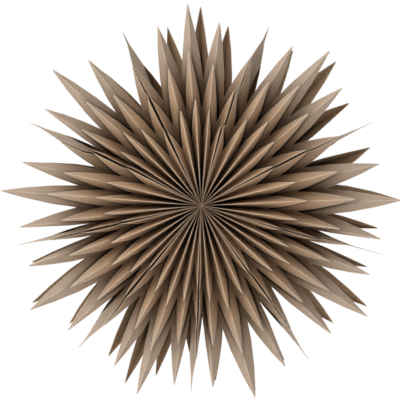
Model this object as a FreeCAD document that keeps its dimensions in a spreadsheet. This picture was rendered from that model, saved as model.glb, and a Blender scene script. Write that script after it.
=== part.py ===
"""Fold-out hanging star of pleated paper.

Nine glued units stand side by side round a common axis.  Each unit is three nested paper
bags: a short wide one, a middle one and a long narrow one.  A bag is one folded sheet: a
closed tube whose front and back are pleated into zigzags and whose two side panels are
glued to the bags of the next units.  The open mouth of every bag is cut to points, so the
nine units make three tiers of spikes on the front and on the back.

The star lies in the XZ plane and faces -Y, with Z up and its axis along Y.
"""
import FreeCAD, Part
import math
import os

UNIT_COUNT = 9
TIERS = ("short", "middle", "long")

# Alias, value and meaning.  Lengths are millimetres and angles are degrees.
SIZES = [
    ("paper_thickness", 0.2, "thickness of the paper"),
    ("glue_film", 0.02, "thickness of the glue between two side panels"),
    ("pleat_depth", 32.0, "depth of a pleat from its ridge to its valley"),
    ("core_half_depth", 4.0, "from the middle plane to the valleys of the long bag"),
    ("middle_step", 18.0, "how far the middle bag stands outside the long bag"),
    ("short_step", 18.0, "how far the short bag stands outside the middle bag"),
    ("glue_band_half", 8.0, "half the width of the flat glued band on a side panel"),
    ("first_seam_angle", 114.4, "direction of the seam before the first unit"),
    ("inner_bend", 16.0, "radius at which the facets start to twist open"),
    ("middle_bend", 45.0, "radius of the second bend of the facets"),
    ("outer_bend", 95.0, "radius of the last bend of the facets"),
    ("short_inner_end", 4.0, "radius where the short bag starts"),
    ("short_centre_tip", 156.0, "reach of the middle point of the short bag"),
    ("short_side_tip", 142.0, "reach of the points beside it"),
    ("short_centre_notch", 97.5, "bottom of the notches between those points"),
    ("short_seam_notch", 85.0, "bottom of the notches next to the seams"),
    ("short_seam_fold", 119.0, "length of the corner folds at the seams"),
    ("short_seam_tip", 142.0, "reach of the side panels at the middle plane"),
    ("middle_inner_end", 14.0, "radius where the middle bag starts"),
    ("middle_centre_tip", 228.0, "reach of the middle point of the middle bag"),
    ("middle_side_tip", 208.0, "reach of the points beside it"),
    ("middle_centre_notch", 142.5, "bottom of the notches between those points"),
    ("middle_seam_notch", 124.0, "bottom of the notches next to the seams"),
    ("middle_seam_fold", 174.0, "length of the corner folds at the seams"),
    ("middle_seam_tip", 208.0, "reach of the side panels at the middle plane"),
    ("long_inner_end", 22.0, "radius where the long bag starts"),
    ("long_centre_tip", 298.0, "reach of the middle point of the long bag"),
    ("long_side_tip", 272.0, "reach of the points beside it"),
    ("long_centre_notch", 187.0, "bottom of the notches between those points"),
    ("long_seam_notch", 163.0, "bottom of the notches next to the seams"),
    ("long_seam_fold", 228.0, "length of the corner folds at the seams"),
    ("long_seam_tip", 274.0, "reach of the side panels at the middle plane"),
    ("hanging_hole_radius", 2.0, "radius of the punched hanging hole"),
    ("hanging_hole_reach", 255.0, "distance of the hanging hole from the axis"),
    ("hanging_hole_punch", 4.0, "length of the punch through the two side panels"),
]

# The hand-glued units are opened a little unevenly.  One row a unit, clockwise from the
# first seam, in degrees: its share of the circle and the opening of the seam before it.
UNIT_SIZES = [
    (45.4, 1.2),
    (43.5, 1.2),
    (41.0, 1.0),
    (39.8, 0.9),
    (37.7, 0.9),
    (37.4, 1.0),
    (37.0, 1.3),
    (38.2, 1.1),
    (40.0, 1.3),
]
UNIT_ALIASES = [
    ("span", "share of the circle that the unit fills"),
    ("seam_gap", "opening angle of the seam before the unit"),
]

# Where the three ridges of a face stand, one row a unit, in degrees from its first seam.
# The front of every bag has its own, and the backs of all three bags share theirs.
RIDGES = {
    "short": [
        (12.2, 21.3, 29.2),
        (6.8, 17.5, 27.8),
        (11.5, 22.9, 34.0),
        (9.6, 17.8, 27.0),
        (9.6, 19.9, 29.6),
        (7.3, 16.2, 25.1),
        (6.3, 15.9, 27.1),
        (7.8, 17.1, 26.6),
        (8.2, 17.8, 26.3),
    ],
    "middle": [
        (11.0, 19.9, 29.4),
        (7.9, 18.3, 28.5),
        (11.7, 23.3, 35.3),
        (8.0, 18.2, 28.2),
        (8.3, 19.2, 29.9),
        (6.4, 16.1, 25.0),
        (7.2, 17.5, 28.8),
        (6.4, 16.9, 26.0),
        (6.8, 16.5, 26.0),
    ],
    "long": [
        (10.8, 20.6, 30.2),
        (9.0, 18.9, 29.4),
        (12.6, 24.2, 36.3),
        (7.0, 18.4, 29.2),
        (7.2, 19.0, 31.0),
        (5.5, 15.7, 25.3),
        (6.3, 18.1, 30.1),
        (5.6, 16.7, 26.1),
        (6.0, 16.3, 26.3),
    ],
    "back": [
        (13.8, 24.4, 33.3),
        (10.1, 22.7, 35.0),
        (8.0, 20.0, 32.0),
        (5.4, 16.3, 26.6),
        (6.7, 18.5, 30.0),
        (11.6, 19.8, 28.1),
        (7.1, 19.1, 30.4),
        (5.8, 17.0, 26.6),
        (6.6, 16.9, 26.9),
    ],
}
RIDGE_ALIASES = ("first_ridge", "middle_ridge", "last_ridge")

# A fold bends only where it is this many times farther out than the bag's inner end, and
# not in the last part of its length.
NEAREST_BEND = 1.3
BENDING_SHARE = 0.9

# Width of the paper in a corner fold, in thicknesses: it is backed on one side only.
CORNER_WIDTH = 1.5

# A turn about this axis carries +X towards +Z.
TOWARDS_Z = FreeCAD.Rotation(FreeCAD.Vector(0.0, -1.0, 0.0), 1.0)

# The hanging hole goes through the two long bags that meet at the first seam: the first
# bag's panel on side 0 and the last bag's panel on side 1.
HOLE_SIDES = {1: 0, UNIT_COUNT: 1}

doc = FreeCAD.newDocument("PaperStar")


def unit_word(number):
    """The unit's number as a word part that no cell address looks like."""
    return "of_unit_%d" % number


def make_sheet():
    """Put every driving dimension in a spreadsheet cell with an alias."""
    sheet = doc.addObject("Spreadsheet::Sheet", "Sizes")
    rows = list(SIZES)
    for number, values in enumerate(UNIT_SIZES, start=1):
        for (name, meaning), value in zip(UNIT_ALIASES, values):
            rows.append(("%s_%s" % (name, unit_word(number)), value, meaning))
    for face, units in RIDGES.items():
        for number, angles in enumerate(units, start=1):
            for name, angle in zip(RIDGE_ALIASES, angles):
                alias = "%s_%s_%s" % (face, name, unit_word(number))
                rows.append((alias, angle, "angle of a ridge from the unit's first seam"))
    for row, (alias, value, meaning) in enumerate(rows, start=1):
        sheet.set("A%d" % row, alias)
        sheet.set("B%d" % row, str(value))
        sheet.setAlias("B%d" % row, alias)
        sheet.set("C%d" % row, meaning)
    doc.recompute()
    return sheet


sheet = make_sheet()


def size(alias):
    """Value of a driving dimension."""
    return float(getattr(sheet, alias))


def unit_size(alias, number):
    """Value of a driving dimension of one unit, counted round the circle."""
    wrapped = (number - 1) % UNIT_COUNT + 1
    return size("%s_%s" % (alias, unit_word(wrapped)))


def span_of(number):
    """Angle of a unit, with the nine spans always closing the circle."""
    total = sum(unit_size("span", each) for each in range(1, UNIT_COUNT + 1))
    return unit_size("span", number) * 360.0 / total


class Fold:
    """One fold of a bag, or the line where a side panel crosses the middle plane.

    across(radius) is the distance along the arc from the unit's first seam, depth is the
    Y coordinate of the crease's edge, reach is the radius where the die cut ends the fold,
    and bends_within is the radius up to which the facets beside the fold bend.
    """

    def __init__(self, across, depth, reach, bends_within):
        self.across = across
        self.depth = depth
        self.reach = reach
        self.bends_within = bends_within


class Bag:
    """The folds of one bag, given in its unit's own frame.

    The folds run round the bag: nine across the front from the first seam to the next,
    three on the side panel there, nine back across the back and three on the first side.
    """

    FRONT = range(0, 9)
    BACK = range(12, 21)

    def __init__(self, tier, number):
        self.tier = tier
        self.paper = size("paper_thickness")
        self.panel_inset = (TIERS.index(tier) + 0.5) * (self.paper + size("glue_film"))
        self.inner_end = size(tier + "_inner_end")
        self.span = math.radians(span_of(number))
        self.valley_depth = self.distance_of_valleys()
        self.ridge_depth = self.valley_depth + size("pleat_depth")
        self.band = size("glue_band_half")
        seams = (number, number + 1)
        self.openings = [math.radians(unit_size("seam_gap", seam)) / 2.0 for seam in seams]
        self.sections = {}
        self.folds = self.pleats(tier, number, -1.0)
        self.folds += self.side_panel(1, -1.0)
        self.folds += self.pleats("back", number, 1.0)[::-1]
        self.folds += self.side_panel(0, 1.0)

    def distance_of_valleys(self):
        """Distance of the bag's valleys from the middle plane."""
        depth = size("core_half_depth")
        if self.tier != "long":
            depth += size("middle_step")
        if self.tier == "short":
            depth += size("short_step")
        return depth

    def reach(self, name):
        """Radius at which the die cut ends a fold."""
        return size("%s_%s" % (self.tier, name))

    def panel_across(self, side, radius):
        """Arc distance of the middle of a side panel's paper from the first seam."""
        return self.panel_inset if side == 0 else self.span * radius - self.panel_inset

    def corner_angle(self, side):
        """Angle of a corner fold from its side panel's band, clockwise."""
        return self.openings[side] if side == 0 else -self.openings[side]

    def corner_across(self, side, radius):
        """Arc distance of a corner fold, which leaves its seam from the centre outwards."""
        opened = self.corner_angle(side) * (radius - size("short_inner_end"))
        return self.panel_across(side, radius) + opened

    def pleat_across(self, index, angle):
        """Arc distance of a pleat fold: packed evenly at the centre, fanned at the rim."""
        start = size("short_inner_end")
        rim = size("long_centre_tip")
        share = index / (len(self.FRONT) - 1.0)
        packed = 0.5 * self.paper + (self.span * start - self.paper) * share
        slope = (angle * rim - packed) / (rim - start)
        return lambda radius: packed + slope * (radius - start)

    def pleats(self, face, number, facing):
        """The nine folds of the front or back from the first seam to the next one."""
        ridges = [math.radians(unit_size("%s_%s" % (face, name), number))
                  for name in RIDGE_ALIASES]
        ridges.insert(0, self.corner_angle(0))
        ridges.append(self.span + self.corner_angle(1))
        tips = [self.reach(name) for name in ("seam_fold", "side_tip", "centre_tip")]
        tips += tips[1::-1]
        notches = [self.reach(name) for name in ("seam_notch", "centre_notch")]
        notches += notches[::-1]
        folds = []
        for index in range(1, 8):
            step = index // 2
            if index % 2:
                angle = (ridges[step] + ridges[step + 1]) / 2.0
                depth, reach = self.valley_depth, notches[step]
            else:
                angle = ridges[step]
                depth, reach = self.ridge_depth, tips[step]
            line = self.pleat_across(index, angle)
            folds.append(Fold(line, facing * depth, reach, BENDING_SHARE * notches[0]))
        corners = [
            Fold(lambda radius, side=side: self.corner_across(side, radius),
                 facing * self.ridge_depth, tips[0], BENDING_SHARE * tips[0])
            for side in (0, 1)
        ]
        return corners[:1] + folds + corners[1:]

    def side_panel(self, side, facing):
        """Edges and middle line of the flat glued band of a side panel."""
        tip = self.reach("seam_tip")
        corner = self.reach("seam_fold")
        edge = tip + (corner - tip) * self.band / self.ridge_depth
        bends_within = BENDING_SHARE * corner

        def line(radius):
            return self.panel_across(side, radius)

        return [
            Fold(line, facing * self.band, edge, bends_within),
            Fold(line, 0.0, tip, 0.0),
            Fold(line, -facing * self.band, edge, bends_within),
        ]

    def stations(self, index):
        """Radii at which a fold line has a point."""
        fold = self.folds[index]
        nearest = NEAREST_BEND * self.inner_end
        bends = [size(name) for name in ("inner_bend", "middle_bend", "outer_bend")]
        inside = [radius for radius in bends if nearest < radius < fold.bends_within]
        return [self.inner_end] + inside + [fold.reach]

    def tucked_depth(self, index, pleats, across):
        """Depth of the middle of the paper in a crease, behind the crease's own edge.

        Near the centre the facets lie almost flat on each other, so the paper fills more
        of the crease there.
        """
        depth = self.folds[index].depth
        gaps = [abs(across[near] - across[index]) for near in (index - 1, index + 1)
                if near in pleats]
        spacing = sum(gaps) / len(gaps)
        slant = self.paper * math.hypot(spacing, size("pleat_depth"))
        if len(gaps) == 1:
            tuck = slant / (spacing + CORNER_WIDTH * self.paper)
        else:
            tuck = slant / (2.0 * (spacing + self.paper))
        if abs(depth) == self.ridge_depth:
            tuck = -tuck
        return math.copysign(abs(depth) + tuck, depth)

    def section(self, radius):
        """Middle of the paper round the bag at one radius, as (across, depth) pairs."""
        if radius not in self.sections:
            across = [fold.across(radius) for fold in self.folds]
            depths = [fold.depth for fold in self.folds]
            for pleats in (self.FRONT, self.BACK):
                for index in pleats:
                    depths[index] = self.tucked_depth(index, pleats, across)
            self.sections[radius] = list(zip(across, depths))
        return self.sections[radius]

    def skins(self, radius, index, share):
        """Outer and inner point of the paper at a share of the facet after a fold."""
        section = self.section(radius)
        here = section[index]
        after = section[(index + 1) % len(section)]
        normal = edge_normal(here, after)
        if share:
            middle = [a + (b - a) * share for a, b in zip(here, after)]
            offset = [0.5 * self.paper * part for part in normal]
        else:
            middle = here
            offset = mitre(edge_normal(section[index - 1], here), normal, 0.5 * self.paper)
        outer = unit_point(radius, middle[0] + offset[0], middle[1] + offset[1])
        inner = unit_point(radius, middle[0] - offset[0], middle[1] - offset[1])
        return outer, inner


def edge_normal(start, end):
    """Unit normal on the outer side of a step round the section."""
    step = (end[0] - start[0], end[1] - start[1])
    length = math.hypot(*step)
    return (step[1] / length, -step[0] / length)


def mitre(before, after, distance):
    """Shift of a corner whose two sides both move outwards by a distance."""
    dot = before[0] * after[0] + before[1] * after[1]
    scale = distance / (1.0 + dot)
    return [scale * (a + b) for a, b in zip(before, after)]


def unit_point(radius, across, depth):
    """Point of the unit's frame, whose X axis runs along the first seam."""
    angle = across / radius
    return FreeCAD.Vector(radius * math.cos(angle), depth, -radius * math.sin(angle))


def strip(left, right):
    """Triangles that fill the strip between two chains of (radius, fold, share) points."""
    triangles = []
    low, high = 0, 0
    while low + 1 < len(left) or high + 1 < len(right):
        climb_left = high + 1 == len(right)
        if low + 1 < len(left) and not climb_left:
            climb_left = left[low + 1][0] < right[high + 1][0]
        corner = left[low + 1] if climb_left else right[high + 1]
        if corner not in (left[low], right[high]):
            triangles.append((left[low], right[high], corner))
        if climb_left:
            low += 1
        else:
            high += 1
    return triangles


def facet(bag, index):
    """Triangles of the facet after a fold, and the points along its die-cut end."""
    following = (index + 1) % len(bag.folds)
    left = [(radius, index, 0.0) for radius in bag.stations(index)]
    right = [(radius, following, 0.0) for radius in bag.stations(following)]
    rim = [left[-1], right[-1]]
    pleated = any(index in pleats and following in pleats for pleats in (bag.FRONT, bag.BACK))
    if pleated:
        rim.insert(1, ((left[-1][0] + right[-1][0]) / 2.0, index, 0.5))
    if left[-1][0] > right[-1][0]:
        right += rim[-2::-1]
    elif left[-1][0] < right[-1][0]:
        left += rim[1:]
    return strip(left, right), rim


def bag_solid(bag):
    """The folded sheet: two skins of flat facets joined along the paper's cut edges."""
    corners = []
    places = {}
    triangles = []

    def corner(point, skin):
        key = (point, skin)
        if key not in places:
            outer, inner = bag.skins(*point)
            places[(point, 0)] = len(corners)
            places[(point, 1)] = len(corners) + 1
            corners.extend([outer, inner])
        return places[key]

    def edge_faces(start, end):
        outer = [corner(start, 0), corner(end, 0)]
        inner = [corner(start, 1), corner(end, 1)]
        triangles.append((outer[0], outer[1], inner[1]))
        triangles.append((outer[0], inner[1], inner[0]))

    for index in range(len(bag.folds)):
        faces, rim = facet(bag, index)
        for first, second, third in faces:
            triangles.append((corner(first, 0), corner(second, 0), corner(third, 0)))
            triangles.append((corner(second, 1), corner(first, 1), corner(third, 1)))
        for start, end in zip(rim[:-1], rim[1:]):
            edge_faces(start, end)
        following = (index + 1) % len(bag.folds)
        edge_faces((bag.inner_end, following, 0.0), (bag.inner_end, index, 0.0))
    skin = Part.Shape()
    skin.makeShapeFromMesh((corners, triangles), 0.0001)
    return Part.Solid(Part.Shell(skin.Faces))


def seam_expression(number):
    """Expression for the direction of the seam before a unit."""
    total = " + ".join("Sizes.span_" + unit_word(each) for each in range(1, UNIT_COUNT + 1))
    before = " + ".join("Sizes.span_" + unit_word(each) for each in range(1, number))
    return "(Sizes.first_seam_angle - 360 * (%s) / (%s)) * 1 deg" % (before or "0", total)


def turn_to_seam(feature, number):
    """Turn a finished bag from its unit's frame to its place round the axis."""
    feature.Placement = FreeCAD.Placement(FreeCAD.Vector(), TOWARDS_Z)
    feature.setExpression("Placement.Rotation.Angle", seam_expression(number))


def hole_cutter(label, number, side):
    """Punch for the hanging hole through one side panel, in its unit's frame."""
    punch = doc.addObject("Part::Cylinder", label)
    punch.Label = label
    punch.setExpression("Radius", "Sizes.hanging_hole_radius")
    punch.setExpression("Height", "Sizes.hanging_hole_punch")
    half = "Sizes.hanging_hole_punch / 2"
    reach = "Sizes.hanging_hole_reach"
    total = " + ".join("Sizes.span_" + unit_word(each) for each in range(1, UNIT_COUNT + 1))
    turn = "0"
    if side == 1:
        turn = "(360 * Sizes.span_%s / (%s))" % (unit_word(number), total)
    punch.Placement = FreeCAD.Placement(FreeCAD.Vector(), TOWARDS_Z)
    punch.setExpression("Placement.Rotation.Angle", "-%s * 1 deg" % turn)
    punch.setExpression(
        "Placement.Base.x",
        "%s * cos(%s * 1 deg) - (%s) * sin(%s * 1 deg)" % (reach, turn, half, turn))
    punch.setExpression(
        "Placement.Base.z",
        "-(%s) * sin(%s * 1 deg) - (%s) * cos(%s * 1 deg)" % (reach, turn, half, turn))
    return punch


def make_bag(tier, number):
    """Document object of one folded bag, at its place in the star."""
    node = "%s_bag_%d" % (tier, number)
    punched = tier == "long" and number in HOLE_SIDES
    folded = doc.addObject("Part::Feature", node + ("_folded" if punched else ""))
    folded.Shape = bag_solid(Bag(tier, number))
    finished = folded
    if punched:
        finished = doc.addObject("Part::Cut", node)
        finished.Base = folded
        finished.Tool = hole_cutter(node + "_punch", number, HOLE_SIDES[number])
    finished.Label = node
    turn_to_seam(finished, number)
    return finished


nodes = [make_bag(tier, number) for tier in TIERS for number in range(1, UNIT_COUNT + 1)]
doc.recompute()

for item in doc.Objects:
    if "Invalid" in item.State or "Error" in item.State:
        raise RuntimeError("%s failed to build" % item.Label)
for node in nodes:
    if node.Shape.isNull() or not node.Shape.isValid() or node.Shape.Volume <= 0.0:
        raise RuntimeError("%s has no valid shape" % node.Label)

os.makedirs("parts", exist_ok=True)
for node in nodes:
    node.Shape.exportStep("parts/%s.step" % node.Label)
    print(node.Label, round(node.Shape.Volume, 1), len(node.Shape.Faces))
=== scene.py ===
"""Fold-out hanging star of pleated paper, dressed over its solid model.

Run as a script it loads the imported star, folds every bag from a flat sheet, gives the
paper its surface, and sets the stage, the lights and the camera.
"""
import math

import bmesh
import bpy
from bpy.props import (CollectionProperty, FloatProperty, FloatVectorProperty,
                       IntProperty, PointerProperty)
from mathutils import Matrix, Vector, noise


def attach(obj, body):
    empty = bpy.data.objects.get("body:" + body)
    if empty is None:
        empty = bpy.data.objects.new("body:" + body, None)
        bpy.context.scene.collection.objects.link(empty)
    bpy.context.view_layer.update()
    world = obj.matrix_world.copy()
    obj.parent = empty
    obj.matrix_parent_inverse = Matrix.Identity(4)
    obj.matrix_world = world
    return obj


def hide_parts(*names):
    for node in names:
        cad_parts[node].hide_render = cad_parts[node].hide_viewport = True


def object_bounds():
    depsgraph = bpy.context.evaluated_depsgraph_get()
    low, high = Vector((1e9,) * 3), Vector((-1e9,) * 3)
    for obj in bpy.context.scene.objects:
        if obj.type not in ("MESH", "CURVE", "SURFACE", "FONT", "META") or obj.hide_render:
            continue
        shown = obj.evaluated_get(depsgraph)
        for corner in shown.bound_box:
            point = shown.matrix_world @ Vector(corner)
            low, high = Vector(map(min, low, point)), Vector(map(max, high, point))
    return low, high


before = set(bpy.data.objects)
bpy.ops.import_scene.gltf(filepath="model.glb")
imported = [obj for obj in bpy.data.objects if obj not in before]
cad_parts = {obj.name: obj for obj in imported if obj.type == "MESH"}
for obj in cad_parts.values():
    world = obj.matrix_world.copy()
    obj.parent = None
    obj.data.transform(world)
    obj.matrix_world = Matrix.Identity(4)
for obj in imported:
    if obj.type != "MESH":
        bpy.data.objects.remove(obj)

bl_info = {
    "name": "Pleated Paper Star",
    "version": (1, 0, 0),
    "blender": (4, 5, 0),
    "location": "3D View > Sidebar > Paper Star",
    "description": "Folds a hanging star of nested pleated bags and lights it",
    "category": "Add Mesh",
}

CAD_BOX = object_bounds()
BODY = "root"
TIERS = ("short", "middle", "long")
UNIT_COUNT = sum(1 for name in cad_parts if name.startswith("long_bag_"))

# How the hand-glued units are opened, clockwise from the first seam, in degrees: share of
# the circle and opening of the seam before the unit, then how far the front of that seam
# leans counterclockwise at the short, middle and long bags.
UNIT_SEAMS = [
    (45.4, 2.2, 1.3, 1.5, 1.8),
    (43.5, 1.7, 6.6, 4.4, 2.5),
    (41.0, 1.5, 2.6, 1.8, 0.9),
    (39.8, 1.0, -1.1, -1.0, 0.4),
    (37.7, 1.3, 1.0, 1.5, 1.1),
    (37.4, 1.3, 1.4, 1.5, 1.2),
    (37.0, 1.9, 1.2, 1.0, 1.6),
    (38.2, 1.5, -0.6, 0.2, 0.4),
    (40.0, 1.9, -2.4, -1.1, 1.2),
]

# Where the three ridges of a face stand, one row a unit, in degrees from its first seam.
RIDGE_ANGLES = {
    "short": [
        (12.2, 21.3, 29.2),
        (6.8, 17.5, 27.8),
        (11.5, 22.9, 34.0),
        (9.6, 17.8, 27.0),
        (9.6, 19.9, 29.6),
        (7.3, 16.2, 25.1),
        (6.3, 15.9, 27.1),
        (7.8, 17.1, 26.6),
        (8.2, 17.8, 26.3),
    ],
    "middle": [
        (11.0, 19.9, 29.4),
        (7.9, 18.3, 28.5),
        (11.7, 23.3, 35.3),
        (8.0, 18.2, 28.2),
        (8.3, 19.2, 29.9),
        (6.4, 16.1, 25.0),
        (7.2, 17.5, 28.8),
        (6.4, 16.9, 26.0),
        (6.8, 16.5, 26.0),
    ],
    "long": [
        (10.8, 20.6, 30.2),
        (9.0, 18.9, 29.4),
        (12.6, 24.2, 36.3),
        (7.0, 18.4, 29.2),
        (7.2, 19.0, 31.0),
        (5.5, 15.7, 25.3),
        (6.3, 18.1, 30.1),
        (5.6, 16.7, 26.1),
        (6.0, 16.8, 26.6),
    ],
    "back": [
        (13.8, 24.4, 33.3),
        (10.1, 22.7, 35.0),
        (7.3, 24.2, 33.5),
        (5.4, 16.3, 26.6),
        (6.7, 18.5, 30.0),
        (11.6, 19.8, 28.1),
        (7.1, 19.1, 30.4),
        (5.2, 16.5, 25.6),
        (5.6, 16.4, 26.3),
    ],
}

# Near the axis the folds lie packed on each other inside this radius, in metres.
PACKED_RADIUS = 0.004
# A corner at the very axis is placed as if it had this radius.
AXIS_RADIUS = 1e-4
# Thicknesses from one sheet to the next, where sheets are glued face to face.
SHEET_PITCH = 1.1
# A side panel stands at most this share of the radius from the seam, and over this length
# it closes on its neighbour, clear of the bags round it.
INSET_LIMIT, CLEARING = 0.1, 0.02
# A bag starts to lean its own way at this share of the corner fold of the bag round it,
# and has its whole lean a further share outwards.
LEAN_START, LEAN_LENGTH = 0.97, 0.12
# Share of a bag's lean that the bags inside it follow.
LEAN_FOLLOWED = 0.65
# The seams' slits close over these shares of the corner fold, by this much.
CLOSING_START, CLOSING_LENGTH, CLOSING = 0.72, 0.2, 0.95
# Where the free end of a long side panel starts to lean through, the share of the corner
# fold that this takes, and how much of the corner's lean it has.
FREE_START, FREE_LENGTH, FREE_LEAN = 0.8, 0.2, 0.8
# Depth of the valleys beside the seams: the share near the centre and what is added
# outwards, then the radius where that starts and the length that it takes.
SEAM_DEPTH, SEAM_DEPTH_ADDED, SEAM_DEPTH_START, SEAM_DEPTH_LENGTH = 0.62, 0.28, 0.06, 0.09
# A crease's rounded nose: its length in half creases, its largest share of a facet, the
# length and the lift of its shoulder, and how much of a facet's breadth it may bulge.
NOSE, NOSE_LIMIT, SHOULDER, SHOULDER_LIFT, BULGE_ROOM = 1.6, 0.04, 2.6, 0.8, 0.3
# The two middle columns of a facet, and the shares of it where they stand.
MIDDLE_STEPS, MIDDLE_COLUMNS = (3, 4), (0.32, 0.68)
# Slight bends of the facets: height, waves a metre, and the room a facet needs for all of it.
SWAY_HEIGHT, SWAY_WAVES, SWAY_ROOM = 0.0009, 11.0, 0.002
# How far apart the bends of the units, tiers and folds lie in the noise.
UNIT_SEED, TIER_SEED, FOLD_SEED = 31.7, 7.3, 3.1
# Painted shade beside the edge of the bag round a bag, and what is added down in a valley;
# then how far outwards it reaches, and what is added down in a valley.
SHADE, SHADE_ADDED, SHADE_REACH, SHADE_REACH_ADDED = 0.75, 0.5, 0.0052, 0.0085
# Painted shade of the short bags: it falls by one over a radius, from this much at the
# centre.
SHORT_SHADE, SHORT_SHADE_RADIUS = 1.45, 0.1
# The same for their pleats packed at the centre, and the share of it on their ridges.
PACKED_SHADE, PACKED_SHADE_RADIUS, PACKED_SHADE_SHARE = 1.2, 0.04, 0.85
# Share of it in the shallow pleats beside a seam.
SEAM_SHADE = 0.3
# Painted light makes the paper paler from this radius, and wholly a further length outwards.
TIP_LIGHT_START, TIP_LIGHT_LENGTH = 0.14, 0.1
# Painted highlights on the folds grow from the centre outwards over this radius, and more
# over this length beyond the bag round them; what is covered keeps this share.
HIGHLIGHT_RADIUS, HIGHLIGHT_LENGTH, HIGHLIGHT_COVERED = 0.05, 0.03, 0.3
# What is marked on every sheet for its surface.
MARKS = ("fold_wear", "cut_wear", "recess", "fade", "sheltered")
# Painted highlight at a fold and at the columns beside it.
FOLD_HIGHLIGHT = {0: 1.0, 1: 0.6, 6: 0.6}
# Share of a facet at each of its columns, from its own fold to the next one.
COLUMN_SHARES = (0.0, 0.025, 0.065, 0.32, 0.68, 0.935, 0.975)
COLUMNS = len(COLUMN_SHARES)
# The last rows of the sheet keep these distances from the die-cut edge, and the others
# crowd towards the centre by this power.
EDGE_ROWS = (0.003, 0.0012, 0.0)
ROW_POWER = 1.15

# The studio's soft light: direction, then the cosines from it between which the light
# changes and its two strengths.  The two are multiplied.
GLOWS = (
    ((0.0, -1.0, 0.0), (0.2, 0.85), (1.5, 0.1)),
    ((-0.7, -0.4, 0.6), (-0.6, 0.9), (0.2, 2.2)),
)
# The floor's half breadth, and how far it lies below the star, in metres.
FLOOR_SIZE, FLOOR_DROP = 6.0, 0.6
# The window's light: its place, what it is aimed at, its breadth, power and colour.
WINDOW = ((-2.1, -1.7, 1.9), (0.0, 0.0, 0.0), 1.2, 12.0, (1.0, 0.98, 0.97))
# The camera: what it looks at and from how far in metres, then from where round and above
# and through how wide a view in degrees.
TARGET, DISTANCE = (-0.0012, 0.0, 0.0062), 3.0
AZIMUTH, ELEVATION, VIEW = -0.3, 1.8, 11.43


def length_property(name, description, default):
    """A length in metres that a user may change."""
    return FloatProperty(name=name, description=description, default=default,
                         min=0.0, unit="LENGTH", precision=4)


def angle_property(name, description, degrees=0.0):
    """An angle that a user may change."""
    return FloatProperty(name=name, description=description,
                         default=math.radians(degrees), subtype="ANGLE")


def colour_property(name, description, default):
    """A colour that a user may change."""
    return FloatVectorProperty(name=name, description=description, default=default,
                               subtype="COLOR", size=3, min=0.0, max=1.0)


def ridge_property(face):
    """The angles of the three ridges of one face, from the unit's first seam."""
    return FloatVectorProperty(
        name="%s ridges" % face, size=3, unit="ROTATION",
        description="Angles of the three ridges of the %s, from the first seam" % face,
        default=[math.radians(angle) for angle in (10.0, 20.0, 30.0)])


class UnitOpening(bpy.types.PropertyGroup):
    """How far one glued unit is opened by hand."""

    span: angle_property("Span", "Share of the circle that the unit fills", 40.0)
    seam_gap: angle_property("Seam gap", "Opening of the seam before the unit")
    short_tilt: angle_property("Short tilt", "Lean of that seam's front at the short bags")
    middle_tilt: angle_property("Middle tilt", "Lean of that seam's front at the middle bags")
    long_tilt: angle_property("Long tilt", "Lean of that seam's front at the long bags")
    short_ridges: ridge_property("Short front")
    middle_ridges: ridge_property("Middle front")
    long_ridges: ridge_property("Long front")
    back_ridges: ridge_property("Back")


class PaperStar(bpy.types.PropertyGroup):
    """Sizes and colours of the whole star."""

    first_seam: angle_property("First seam", "Direction of the seam before unit 1", 114.4)
    units: CollectionProperty(type=UnitOpening, name="Units", description="The glued units")
    short_share: FloatProperty(
        name="Short bag", description="Length of the short bag against the long one",
        default=0.5235, min=0.1, max=1.0)
    middle_share: FloatProperty(
        name="Middle bag", description="Length of the middle bag against the long one",
        default=0.765, min=0.1, max=1.0)
    short_inner_end: length_property("Short start", "Radius where short bags start", 0.0012)
    middle_inner_end: length_property("Middle start", "Radius where middle bags start", 0.014)
    long_inner_end: length_property("Long start", "Radius where long bags start", 0.022)
    centre_tip: length_property("Centre tip", "Reach of a long bag's middle point", 0.298)
    side_tip: length_property("Side tip", "Reach of the points beside it", 0.272)
    centre_notch: length_property("Centre notch", "Bottom of the notches between", 0.187)
    seam_notch: length_property("Seam notch", "Bottom of the notches at the seams", 0.163)
    seam_fold: length_property("Seam fold", "Length of the corner folds", 0.228)
    seam_tip: length_property("Seam tip", "Reach of the side panels", 0.284)
    pleat_depth: length_property("Pleat depth", "From a ridge to its valley", 0.032)
    flat_radius: length_property("Flat radius", "Where opened pleats would lie flat", 0.345)
    core_depth: length_property("Core depth", "From the middle to the long valleys", 0.004)
    tier_step: length_property("Tier step", "How far each bag stands outside the next", 0.018)
    band_half: length_property("Glued band", "Half the width of the glued band", 0.008)
    paper: length_property("Paper", "Thickness of the paper", 0.00022)
    crease: length_property("Crease", "Half the width of a worn crease", 0.00028)
    hole_radius: length_property("Hole", "Radius of the hanging hole", 0.002)
    seam_point: length_property("Seam point", "Length of a side panel's narrow point", 0.0224)
    hole_inset: length_property("Hole inset", "From the panel's tip to the hole", 0.029)
    rows: IntProperty(
        name="Rows", description="Steps along a facet", default=22, min=6, max=80)
    paper_colour: colour_property("Paper", "Colour of the paper", (0.376, 0.24, 0.142))
    # Painted light: a paler paper colour towards the long tips, also used on the inner face
    # of the side panels.
    lit_paper_colour: colour_property(
        "Bleached paper", "Colour of the paper at the long tips", (0.34, 0.26, 0.196))
    # Painted shade: the darker colour of the inner face of the pleats.
    inside_shade_colour: colour_property(
        "Inside paper", "Colour of the paper inside the pleats", (0.225, 0.145, 0.085))
    # Painted shade: the near-black colour mixed in deep in the pleats and beside the bag
    # round a bag.
    deep_shade_colour: colour_property(
        "Deep paper", "Colour of the paper deep in the pleats", (0.009, 0.0045, 0.002))
    # Painted highlight: the light colour along folds and die-cut edges where they catch the
    # light.
    highlight_colour: colour_property(
        "Fold highlights", "Colour of the painted highlights on folds and cut edges", (0.55, 0.45, 0.35))
    backdrop_colour: colour_property("Backdrop", "Colour of the floor", (0.9, 0.9, 0.9))


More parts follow.
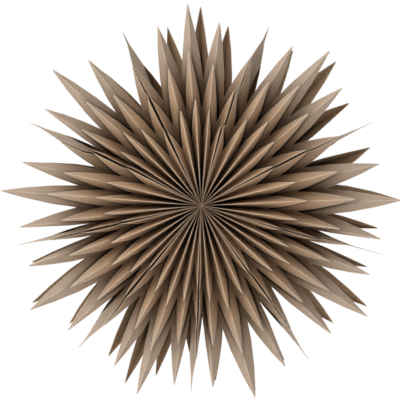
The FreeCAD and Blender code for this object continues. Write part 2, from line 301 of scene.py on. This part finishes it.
def star():
    """The sizes and colours in the scene."""
    return bpy.context.scene.paper_star


def tier_shares():
    """Length of each tier's bags against the long one."""
    return (star().short_share, star().middle_share, 1.0)


def clamped(value):
    """A value kept between 0 and 1."""
    return min(max(value, 0.0), 1.0)


def eased(share):
    """A share between 0 and 1 with soft ends."""
    return share * share * (3.0 - 2.0 * share)


def column_distance(step, length):
    """Distance of a column from its own fold, in a facet of this length across."""
    nose = min(NOSE * star().crease, NOSE_LIMIT * length)
    shoulder = SHOULDER * nose
    first, second = MIDDLE_COLUMNS
    return (0.0, nose, shoulder, first * length, second * length,
            length - shoulder, length - nose)[step]


def tip_light_share(radius):
    """How far painted light makes the paper paler, from 0 to 1, most at the long tips."""
    return eased(clamped((radius - TIP_LIGHT_START) / TIP_LIGHT_LENGTH))


class Bag:
    """Where the sheet of one bag goes when it is folded and opened."""

    FOLDS = 24
    FACE_FOLDS = 9
    PLEATS = (range(0, 9), range(12, 21))
    RIDGES = (0, 2, 4, 6, 8, 12, 14, 16, 18, 20)
    VALLEYS = (1, 3, 5, 7, 13, 15, 17, 19)
    SEAM_VALLEYS = (1, 7, 13, 19)
    # The middle line of each side panel.
    PANEL_MIDDLES = (22, 10)

    def __init__(self, tier, number):
        sizes = star()
        layer = TIERS.index(tier)
        unit = sizes.units[number - 1]
        following = sizes.units[number % UNIT_COUNT]
        self.seed = UNIT_SEED * number + TIER_SEED * layer
        shares = tier_shares()
        self.share = shares[layer]
        self.cover = shares[layer - 1] / self.share if layer else 0.0
        self.start = getattr(sizes, tier + "_inner_end")
        self.seam = sizes.first_seam - sum(each.span for each in sizes.units[:number - 1])
        self.span = unit.span
        self.inset = (layer + 0.5) * SHEET_PITCH * sizes.paper
        valley = sizes.core_depth + (2 - layer) * sizes.tier_step
        self.ridge_depth = valley + sizes.pleat_depth
        outermost = sizes.core_depth + 2 * sizes.tier_step + sizes.pleat_depth
        self.lean = (self.ridge_depth - sizes.band_half) / (outermost - sizes.band_half)
        self.gaps = (self.lean * unit.seam_gap / 2.0, -self.lean * following.seam_gap / 2.0)
        self.seams = (unit, following)
        self.tier = tier
        self.lines = []
        self.depths = []
        self.reaches = []
        self.add_pleats(getattr(unit, tier + "_ridges"), valley, -1.0)
        self.add_panel(1, -1.0)
        back = len(self.lines)
        self.add_pleats(unit.back_ridges, valley, 1.0)
        for values in (self.lines, self.depths, self.reaches):
            values[back:] = values[back:][::-1]
        self.add_panel(0, 1.0)

    def corner_angle(self, side, facing, radius):
        """Angle of a corner fold from its side panel's band, clockwise.

        Nested side panels lie flat on each other, and each bends its own way only where
        it stands out of the bags round it.
        """
        sizes = star()
        seam = self.seams[side]
        layer = TIERS.index(self.tier)
        tilt = seam.short_tilt * self.lean
        for name, share in zip(TIERS[1:layer + 1], tier_shares()):
            start = sizes.seam_fold * share
            own = getattr(seam, name + "_tilt")
            if name != self.tier:
                own *= LEAN_FOLLOWED
            begun = clamped((radius - LEAN_START * start) / (LEAN_LENGTH * start))
            tilt += (own - tilt) * eased(begun)
        closing = clamped((radius / sizes.seam_fold - CLOSING_START) / CLOSING_LENGTH)
        return self.gaps[side] * (1.0 - CLOSING * closing) + facing * tilt

    def add_pleats(self, angles, valley, facing):
        """The folds of one face, from the first seam to the next."""
        sizes = star()
        edges = [self.corner_angle(side, facing, sizes.seam_fold * self.share)
                 for side in (0, 1)]
        ridges = [edges[0], *angles, self.span + edges[1]]
        tips = [sizes.seam_fold, sizes.side_tip, sizes.centre_tip,
                sizes.side_tip, sizes.seam_fold]
        notches = [sizes.seam_notch, sizes.centre_notch, sizes.centre_notch, sizes.seam_notch]
        last = self.FACE_FOLDS - 1
        for index in range(self.FACE_FOLDS):
            step = index // 2
            if index in (0, last):
                self.lines.append(("corner", index // last, facing))
                depth, reach = self.ridge_depth, tips[step]
            elif index % 2:
                self.lines.append(("pleat", index, (ridges[step] + ridges[step + 1]) / 2.0))
                depth, reach = valley, notches[step]
            else:
                self.lines.append(("pleat", index, ridges[step]))
                depth, reach = self.ridge_depth, tips[step]
            self.depths.append(facing * depth)
            self.reaches.append(reach * self.share)

    def add_panel(self, side, facing):
        """The edges and the middle line of the flat glued band of a side panel."""
        sizes = star()
        edge = sizes.seam_tip - sizes.seam_point
        for depth, reach in ((facing, edge), (0.0, sizes.seam_tip), (-facing, edge)):
            self.lines.append(("panel", side, 0.0))
            self.depths.append(depth * sizes.band_half)
            self.reaches.append(reach * self.share)

    def across(self, fold, radius):
        """Distance of a fold along the arc from the unit's first seam."""
        sizes = star()
        kind, place, value = self.lines[fold]
        if kind == "pleat":
            start = PACKED_RADIUS
            share = place / (self.FACE_FOLDS - 1)
            packed = sizes.paper / 2.0 + (self.span * start - sizes.paper) * share
            slope = (value * sizes.centre_tip - packed) / (sizes.centre_tip - start)
            if radius < start:
                return packed * radius / start
            return packed + slope * (radius - start)
        # Clear of the bags round it, a side panel lies against its neighbour.
        clear = clamped((radius - self.cover * self.share * sizes.seam_tip) / CLEARING)
        inset = self.inset + (0.5 * SHEET_PITCH * sizes.paper - self.inset) * clear
        inset = min(inset, INSET_LIMIT * radius)
        across = self.span * radius - inset if place else inset
        if kind == "corner":
            across += (self.corner_angle(place, value, radius)
                       * max(radius - PACKED_RADIUS, 0.0))
        elif self.tier == "long":
            # Out past its corner folds the free end of a side panel leans right through.
            free = clamped((radius / sizes.seam_fold - FREE_START) / FREE_LENGTH)
            tilt = (self.corner_angle(place, 1.0, radius)
                    - self.corner_angle(place, -1.0, radius)) / 2.0
            across += FREE_LEAN * free * tilt * radius * self.depths[fold] / self.ridge_depth
        return across

    def depth(self, fold, radius):
        """Depth of a fold.

        A pleat grows shallower outwards as it opens, and those beside the seams lie
        flatter near the centre.
        """
        full = self.depths[fold]
        if fold not in self.VALLEYS:
            return full
        opened = math.sqrt(1.0 - (radius / star().flat_radius) ** 2)
        if fold in self.SEAM_VALLEYS:
            outer = clamped((radius - SEAM_DEPTH_START) / SEAM_DEPTH_LENGTH)
            opened *= SEAM_DEPTH + SEAM_DEPTH_ADDED * outer
        depth = self.ridge_depth - star().pleat_depth * opened
        return math.copysign(depth, full)

    def spot(self, fold, radius):
        """Place of a fold in the section at one radius."""
        return Vector((self.across(fold, radius), self.depth(fold, radius)))

    def point(self, fold, step, radius):
        """Place of one column of the sheet in the section at one radius."""
        sizes = star()
        following = (fold + 1) % self.FOLDS
        here, after = self.spot(fold, radius), self.spot(following, radius)
        along = after - here
        length = along.length
        along.normalize()
        outward = Vector((along.y, -along.x))
        room = BULGE_ROOM * abs(after.x - here.x)
        round_off = min(sizes.crease, room) if self.pleated(fold) else 0.0
        lifts = (0.0, self.bulge(fold), SHOULDER_LIFT * self.bulge(fold), 0.0, 0.0,
                 SHOULDER_LIFT * self.bulge(following), self.bulge(following))
        place = here + along * column_distance(step, length)
        place += outward * (round_off * lifts[step])
        if step in MIDDLE_STEPS and self.pleated(fold):
            place += outward * self.sway(fold, radius) * min(1.0, room / SWAY_ROOM)
        return place

    def sway(self, fold, radius):
        """Slight hand-made bend of a facet."""
        where = Vector((self.seed + FOLD_SEED * fold, radius * SWAY_WAVES, 0.5))
        return SWAY_HEIGHT * noise.noise(where)

    def bulge(self, fold):
        """+1 at a ridge, -1 at a valley and 0 on the side panels."""
        if fold in self.RIDGES:
            return 1.0
        return -1.0 if any(fold in pleats for pleats in self.PLEATS) else 0.0

    def pleated(self, fold):
        """Whether the facet after a fold is part of the pleats."""
        return any(fold in pleats and fold + 1 in pleats for pleats in self.PLEATS)

    def recess(self, fold, step, radius):
        """Painted shade on the paper, from 0 to 1: deep in narrow pleats and under the next
        bag.
        """
        if not self.pleated(fold):
            return 0.0
        share = COLUMN_SHARES[step]
        low = 1.0 - share if fold in self.VALLEYS else share
        if self.tier == "short":
            return self.packed_shade(low, fold, radius)
        beyond = max(radius - self.cut(fold, step) * self.cover, 0.0)
        reach = SHADE_REACH + SHADE_REACH_ADDED * low
        return min(1.0, (SHADE + SHADE_ADDED * low) * math.exp(-beyond / reach))

    def packed_shade(self, low, fold, radius):
        """Painted shade in a short bag: most near the centre, little in the pleats beside a
        seam.
        """
        outwards = clamped(SHORT_SHADE - radius / SHORT_SHADE_RADIUS)
        if fold in self.SEAM_VALLEYS or fold + 1 in self.SEAM_VALLEYS:
            return SEAM_SHADE * low * outwards
        packed = clamped(PACKED_SHADE - radius / PACKED_SHADE_RADIUS)
        return (low + (1.0 - low) * packed * PACKED_SHADE_SHARE) * outwards

    def wear(self, fold, step, radius):
        """Painted highlight on a ridge, from 0 to 1: least at the centre and under the next
        bag.
        """
        near = fold if step < 2 else (fold + 1) % self.FOLDS
        if near not in self.RIDGES:
            return 0.0
        beyond = max(radius - self.cut(fold, step) * self.cover, 0.0)
        highlit = FOLD_HIGHLIGHT.get(step, 0.0) * min(1.0, radius / HIGHLIGHT_RADIUS)
        return highlit * min(1.0, HIGHLIGHT_COVERED + beyond / HIGHLIGHT_LENGTH)

    def cut(self, fold, step):
        """Radius of the die-cut edge at one column of the sheet."""
        following = (fold + 1) % self.FOLDS
        here, after = self.reaches[fold], self.reaches[following]
        width = (self.spot(following, after) - self.spot(fold, here)).length
        share = column_distance(step, width) / width
        return here * (1.0 - share) + after * share

    def place(self, radius, spot):
        """Point in space of a place in the section."""
        angle = self.seam - spot.x / max(radius, AXIS_RADIUS)
        return Vector((radius * math.cos(angle), spot.y, radius * math.sin(angle)))


def row_radius(start, cut, row, rows):
    """Radius of a row: even steps, then narrow ones beside the cut edge."""
    even = rows - len(EDGE_ROWS) + 1
    if row >= even:
        return cut - EDGE_ROWS[row - even]
    share = row / even
    return start + (cut - EDGE_ROWS[0] - start) * share ** ROW_POWER


def fold_bag(tier, number):
    """Fold a flat grid into one bag, with its painted highlights, painted shade and painted
    light marked.
    """
    sizes = star()
    bag = Bag(tier, number)
    rows = sizes.rows
    columns = bag.FOLDS * COLUMNS
    sheet = bmesh.new()
    marks = [sheet.verts.layers.float.new(name) for name in MARKS]
    bmesh.ops.create_grid(sheet, x_segments=columns, y_segments=rows, size=1.0)
    for corner in sheet.verts:
        column = round((corner.co.x + 1.0) / 2.0 * columns) % columns
        row = round((corner.co.y + 1.0) / 2.0 * rows)
        fold, step = divmod(column, COLUMNS)
        cut = bag.cut(fold, step)
        radius = row_radius(bag.start, cut, row, rows)
        corner.co = bag.place(radius, bag.point(fold, step, radius))
        # Marks for the surface: painted fold highlights, painted edge highlights, painted
        # shade, painted light towards the tips, and where the inside shade is painted.
        values = (bag.wear(fold, step, radius), float(row >= rows - 1 or row == 0),
                  bag.recess(fold, step, radius), tip_light_share(radius), float(bag.pleated(fold)))
        for mark, value in zip(marks, values):
            corner[mark] = value
    bmesh.ops.remove_doubles(sheet, verts=sheet.verts, dist=1e-6)
    return sheet, bag


def punch_hole(sheet, bag, side):
    """Open the round hanging hole in one side panel."""
    sizes = star()
    radius = sizes.seam_tip - sizes.hole_inset
    fold = bag.PANEL_MIDDLES[side]
    centre = bag.place(radius, bag.spot(fold, radius))
    nearest = min(sheet.verts, key=lambda corner: (corner.co - centre).length)
    near = [corner for corner in sheet.verts
            if (corner.co - nearest.co).length < 2.0 * sizes.hole_radius]
    removed = set(near)
    rim = [edge for edge in sheet.edges if removed.isdisjoint(edge.verts)
           and any(not removed.isdisjoint(face.verts) for face in edge.link_faces)]
    bmesh.ops.delete(sheet, geom=near, context="VERTS")
    rim = bmesh.ops.subdivide_edges(sheet, edges=rim, cuts=1)["geom_split"]
    rim = [item for item in rim if isinstance(item, bmesh.types.BMEdge) and item.is_boundary]
    # The collar is made edge by edge, because extruding it gives no fixed order of faces.
    inner = {}
    for edge in rim:
        for corner in edge.verts:
            if corner not in inner:
                place = centre + (corner.co - centre).normalized() * sizes.hole_radius
                inner[corner] = sheet.verts.new(place, corner)
    for edge in rim:
        loop = edge.link_loops[0]
        first, second = loop.vert, loop.link_loop_next.vert
        sheet.faces.new((second, first, inner[first], inner[second]))


def new_piece(name, sheet, materials):
    """Object at the origin from a finished bmesh, riding on the star's body."""
    mesh = bpy.data.meshes.new(name)
    sheet.to_mesh(mesh)
    sheet.free()
    mesh.shade_smooth()
    for material in materials:
        mesh.materials.append(material)
    piece = bpy.data.objects.new(name, mesh)
    bpy.context.scene.collection.objects.link(piece)
    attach(piece, BODY)
    return piece


def new_group(name, inputs, outputs):
    """Node group with named number sockets, and its two end nodes."""
    group = bpy.data.node_groups.new(name, "ShaderNodeTree")
    for label, default in inputs:
        socket = group.interface.new_socket(
            name=label, in_out="INPUT", socket_type="NodeSocketFloat")
        socket.default_value = default
    for label in outputs:
        group.interface.new_socket(name=label, in_out="OUTPUT", socket_type="NodeSocketFloat")
    return group, group.nodes.new("NodeGroupInput"), group.nodes.new("NodeGroupOutput")


def calculated(nodes, links, operation, first, second):
    """What an operation makes of two sockets."""
    node = nodes.new("ShaderNodeMath")
    node.operation = operation
    links.new(first, node.inputs[0])
    links.new(second, node.inputs[1])
    return node.outputs[0]


def mapped(nodes, links, value, given, wanted):
    """A socket's value, brought from one range to another."""
    node = nodes.new("ShaderNodeMapRange")
    names = ("From Min", "From Max", "To Min", "To Max")
    for name, bound in zip(names, (*given, *wanted)):
        node.inputs[name].default_value = bound
    links.new(value, node.inputs["Value"])
    return node.outputs["Result"]


def marked(nodes, name):
    """What a sheet's corners are marked with under one name."""
    mark = nodes.new("ShaderNodeAttribute")
    mark.attribute_name = name
    return mark.outputs["Fac"]


def colour_mix(nodes, links, first, second, amount):
    """Mix of two colours or sockets, by a socket or else the whole of it."""
    mix = nodes.new("ShaderNodeMix")
    mix.data_type = "RGBA"
    for slot, value in (("A", first), ("B", second)):
        if isinstance(value, bpy.types.NodeSocket):
            links.new(value, mix.inputs[slot])
        else:
            mix.inputs[slot].default_value = (*value, 1.0)
    if amount is None:
        mix.inputs["Factor"].default_value = 1.0
    else:
        links.new(amount, mix.inputs["Factor"])
    return mix.outputs["Result"]


def paper_grain_group():
    """Node group of fibres and soft clouds in uncoated paper."""
    name = "Paper grain"
    if name in bpy.data.node_groups:
        return bpy.data.node_groups[name]
    group, given, result = new_group(
        name, (("Fibre scale", 420.0), ("Cloud scale", 22.0)), ("Shade", "Height"))
    nodes, links = group.nodes, group.links
    where = nodes.new("ShaderNodeTexCoord")
    fibre = nodes.new("ShaderNodeTexNoise")
    fibre.inputs["Detail"].default_value = 1.5
    fibre.inputs["Roughness"].default_value = 0.65
    cloud = nodes.new("ShaderNodeTexNoise")
    cloud.inputs["Detail"].default_value = 3.0
    links.new(where.outputs["Object"], fibre.inputs["Vector"])
    links.new(where.outputs["Object"], cloud.inputs["Vector"])
    links.new(given.outputs["Fibre scale"], fibre.inputs["Scale"])
    links.new(given.outputs["Cloud scale"], cloud.inputs["Scale"])
    blend = nodes.new("ShaderNodeMix")
    blend.inputs["Factor"].default_value = 0.45
    links.new(cloud.outputs["Fac"], blend.inputs["A"])
    links.new(fibre.outputs["Fac"], blend.inputs["B"])
    links.new(blend.outputs["Result"], result.inputs["Shade"])
    links.new(fibre.outputs["Fac"], result.inputs["Height"])
    return group


def highlight_group():
    """Node group that masks the painted highlights on folds and cut edges, broken up by
    grain.
    """
    name = "Fold and edge wear"
    if name in bpy.data.node_groups:
        return bpy.data.node_groups[name]
    group, given, result = new_group(
        name, (("Fold amount", 0.8), ("Edge amount", 0.85), ("Grain", 0.5)), ("Mask",))
    nodes, links = group.nodes, group.links
    fold, edge = [calculated(nodes, links, "MULTIPLY", marked(nodes, mark),
                             given.outputs[amount])
                  for mark, amount in (("fold_wear", "Fold amount"),
                                       ("cut_wear", "Edge amount"))]
    larger = calculated(nodes, links, "MAXIMUM", fold, edge)
    broken = mapped(nodes, links, given.outputs["Grain"], (0.25, 0.6), (0.65, 1.0))
    mask = calculated(nodes, links, "MULTIPLY", larger, broken)
    mask.node.use_clamp = True
    links.new(mask, result.inputs["Mask"])
    return group


def paper_material(name, inside):
    """Matt uncoated paper: painted highlights on folds and cut edges, painted shade inside a
    bag.
    """
    sizes = star()
    material = bpy.data.materials.new(name)
    material.use_nodes = True
    nodes, links = material.node_tree.nodes, material.node_tree.links
    shader = nodes["Principled BSDF"]
    shader.inputs["Roughness"].default_value = 0.85
    shader.inputs["Specular IOR Level"].default_value = 0.1
    grain = nodes.new("ShaderNodeGroup")
    grain.node_tree = paper_grain_group()
    wear = nodes.new("ShaderNodeGroup")
    wear.node_tree = highlight_group()
    # The inner face gets no painted highlight on its folds.
    if inside:
        wear.inputs["Fold amount"].default_value = 0.0
    links.new(grain.outputs["Shade"], wear.inputs["Grain"])
    shade = mapped(nodes, links, grain.outputs["Shade"], (0.3, 0.7), (0.9, 1.08))
    # Inner face: painted shade darkens the pleats, while the side panels keep the paler
    # painted-light colour.
    if inside:
        colours, mark = (sizes.lit_paper_colour, sizes.inside_shade_colour), "sheltered"
    else:
        # Outer face: painted light makes the paper paler towards the long tips.
        colours, mark = (sizes.paper_colour, sizes.lit_paper_colour), "fade"
    base = colour_mix(nodes, links, *colours, marked(nodes, mark))
    mottled = colour_mix(nodes, links, base, shade, None)
    mottled.node.blend_type = "MULTIPLY"
    # Painted shade, mixed in deep in the pleats and beside the edge of the bag round a bag.
    shadowed = colour_mix(nodes, links, mottled, sizes.deep_shade_colour, marked(nodes, "recess"))
    # Painted highlight along the folds and cut edges, laid over everything else.
    highlit = colour_mix(nodes, links, shadowed, sizes.highlight_colour, wear.outputs["Mask"])
    links.new(highlit, shader.inputs["Base Color"])
    bump = nodes.new("ShaderNodeBump")
    bump.inputs["Strength"].default_value = 0.02
    bump.inputs["Distance"].default_value = 0.0002
    links.new(grain.outputs["Height"], bump.inputs["Height"])
    links.new(bump.outputs["Normal"], shader.inputs["Normal"])
    return material


def make_tier(tier):
    """Fold the bags of one tier and put each in place of its solid."""
    sizes = star()
    outside = paper_material("Paper of the %s bags" % tier, False)
    # The inner faces carry the painted shade inside the pleats.
    inside = paper_material("Inside of the %s bags" % tier, True)
    for number in range(1, UNIT_COUNT + 1):
        sheet, bag = fold_bag(tier, number)
        if tier == "long" and number in (1, UNIT_COUNT):
            punch_hole(sheet, bag, 0 if number == 1 else 1)
        node = "%s_bag_%d" % (tier, number)
        piece = new_piece(node + "_paper", sheet, (outside, inside))
        wall = piece.modifiers.new("Paper thickness", "SOLIDIFY")
        wall.thickness = sizes.paper
        wall.offset = 0.0
        wall.material_offset = 1
        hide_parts(node)


class PAPERSTAR_OT_short_bags(bpy.types.Operator):
    """Fold the short bags, the front and back tiers nearest the viewer"""

    bl_idname = "paper_star.short_bags"
    bl_label = "Short Bags"

    def execute(self, context):
        make_tier("short")
        return {"FINISHED"}


class PAPERSTAR_OT_middle_bags(bpy.types.Operator):
    """Fold the middle bags, whose spikes stand out between the other tiers"""

    bl_idname = "paper_star.middle_bags"
    bl_label = "Middle Bags"

    def execute(self, context):
        make_tier("middle")
        return {"FINISHED"}


class PAPERSTAR_OT_long_bags(bpy.types.Operator):
    """Fold the long bags, which reach the star's outline"""

    bl_idname = "paper_star.long_bags"
    bl_label = "Long Bags"

    def execute(self, context):
        make_tier("long")
        return {"FINISHED"}


def backdrop_material():
    """Pale floor that the camera sees as white, with the object's soft shadow."""
    material = bpy.data.materials.new("Pale floor")
    material.use_nodes = True
    nodes, links = material.node_tree.nodes, material.node_tree.links
    shader = nodes["Principled BSDF"]
    shader.inputs["Base Color"].default_value = (*star().backdrop_colour, 1.0)
    shader.inputs["Roughness"].default_value = 0.9
    glow = nodes.new("ShaderNodeEmission")
    path = nodes.new("ShaderNodeLightPath")
    mix = nodes.new("ShaderNodeMixShader")
    links.new(path.outputs["Is Camera Ray"], mix.inputs["Fac"])
    links.new(shader.outputs["BSDF"], mix.inputs[1])
    links.new(glow.outputs["Emission"], mix.inputs[2])
    links.new(mix.outputs["Shader"], nodes["Material Output"].inputs["Surface"])
    return material


def world_glow(nodes, links, where, direction, angles, strengths):
    """Strength that changes smoothly with the angle from a direction."""
    facing = nodes.new("ShaderNodeVectorMath")
    facing.operation = "DOT_PRODUCT"
    facing.inputs[1].default_value = Vector(direction).normalized()
    links.new(where.outputs["Generated"], facing.inputs[0])
    soft = mapped(nodes, links, facing.outputs["Value"], angles, strengths)
    soft.node.interpolation_type = "SMOOTHSTEP"
    return soft


def add_area_light(name, place, target, size, power, colour):
    """Soft square lamp aimed at a point."""
    lamp = bpy.data.lights.new(name, "AREA")
    lamp.shape = "SQUARE"
    lamp.size = size
    lamp.energy = power
    lamp.color = colour
    holder = bpy.data.objects.new(name, lamp)
    holder.location = place
    aim = Vector(target) - Vector(place)
    holder.rotation_euler = aim.to_track_quat("-Z", "Y").to_euler()
    bpy.context.scene.collection.objects.link(holder)


class PAPERSTAR_OT_stage(bpy.types.Operator):
    """Set the pale floor, the soft lights, the white surroundings and the camera"""

    bl_idname = "paper_star.stage"
    bl_label = "Stage"

    def execute(self, context):
        scene = context.scene
        low = CAD_BOX[0]
        floor = bmesh.new()
        bmesh.ops.create_grid(floor, x_segments=1, y_segments=1, size=FLOOR_SIZE)
        bmesh.ops.translate(floor, verts=floor.verts, vec=(0.0, 0.0, low[2] - FLOOR_DROP))
        mesh = bpy.data.meshes.new("floor")
        floor.to_mesh(mesh)
        floor.free()
        mesh.materials.append(backdrop_material())
        ground = bpy.data.objects.new("floor", mesh)
        scene.collection.objects.link(ground)

        world = bpy.data.worlds.new("Surroundings")
        scene.world = world
        world.use_nodes = True
        nodes, links = world.node_tree.nodes, world.node_tree.links
        where = nodes.new("ShaderNodeTexCoord")
        soft = [world_glow(nodes, links, where, *glow) for glow in GLOWS]
        total = calculated(nodes, links, "MULTIPLY", *soft)
        path = nodes.new("ShaderNodeLightPath")
        strength = nodes.new("ShaderNodeMix")
        strength.inputs["B"].default_value = 1.0
        links.new(path.outputs["Is Camera Ray"], strength.inputs["Factor"])
        links.new(total, strength.inputs["A"])
        nodes["Background"].inputs["Color"].default_value = (1.0, 1.0, 1.0, 1.0)
        links.new(strength.outputs["Result"], nodes["Background"].inputs["Strength"])

        add_area_light("Window light", *WINDOW)

        azimuth, elevation = math.radians(AZIMUTH), math.radians(ELEVATION)
        lens = bpy.data.cameras.new("Camera")
        lens.sensor_width = 36.0
        lens.angle = math.radians(VIEW)
        camera = bpy.data.objects.new("Camera", lens)
        aim = Vector((math.sin(azimuth) * math.cos(elevation),
                      -math.cos(azimuth) * math.cos(elevation), math.sin(elevation)))
        camera.location = Vector(TARGET) + aim * DISTANCE
        camera.rotation_euler = (-aim).to_track_quat("-Z", "Y").to_euler()
        scene.collection.objects.link(camera)
        scene.camera = camera
        scene.view_settings.view_transform = "Standard"
        return {"FINISHED"}


class PAPERSTAR_PT_sidebar(bpy.types.Panel):
    """Lists the star's pieces in the order they are made"""

    bl_label = "Paper Star"
    bl_idname = "PAPERSTAR_PT_sidebar"
    bl_space_type = "VIEW_3D"
    bl_region_type = "UI"
    bl_category = "Paper Star"

    def draw(self, context):
        layout = self.layout
        for operator in OPERATORS:
            layout.operator(operator.bl_idname)
        column = layout.column(align=True)
        for name in ("paper_colour", "highlight_colour", "paper", "crease", "pleat_depth"):
            column.prop(context.scene.paper_star, name)


OPERATORS = (PAPERSTAR_OT_short_bags, PAPERSTAR_OT_middle_bags, PAPERSTAR_OT_long_bags,
             PAPERSTAR_OT_stage)
CLASSES = (UnitOpening, PaperStar, *OPERATORS, PAPERSTAR_PT_sidebar)


def register():
    """Make the sizes, the operators and the panel known."""
    for each in CLASSES:
        bpy.utils.register_class(each)
    bpy.types.Scene.paper_star = PointerProperty(type=PaperStar)


def unregister():
    """Take them away again."""
    del bpy.types.Scene.paper_star
    for each in reversed(CLASSES):
        bpy.utils.unregister_class(each)


def fill_units():
    """Give every unit its opening."""
    sizes = star()
    sizes.units.clear()
    names = ("span", "seam_gap", "short_tilt", "middle_tilt", "long_tilt")
    for number, seam in enumerate(UNIT_SEAMS):
        unit = sizes.units.add()
        for name, angle in zip(names, seam):
            setattr(unit, name, math.radians(angle))
        for face, rows in RIDGE_ANGLES.items():
            setattr(unit, face + "_ridges", [math.radians(angle) for angle in rows[number]])


def main():
    """Build the star and its stage, with every unit's opening filled in."""
    register()
    fill_units()
    bpy.ops.paper_star.short_bags()
    bpy.ops.paper_star.middle_bags()
    bpy.ops.paper_star.long_bags()
    bpy.ops.paper_star.stage()
    bpy.context.view_layer.update()


if __name__ == "__main__":
    main()
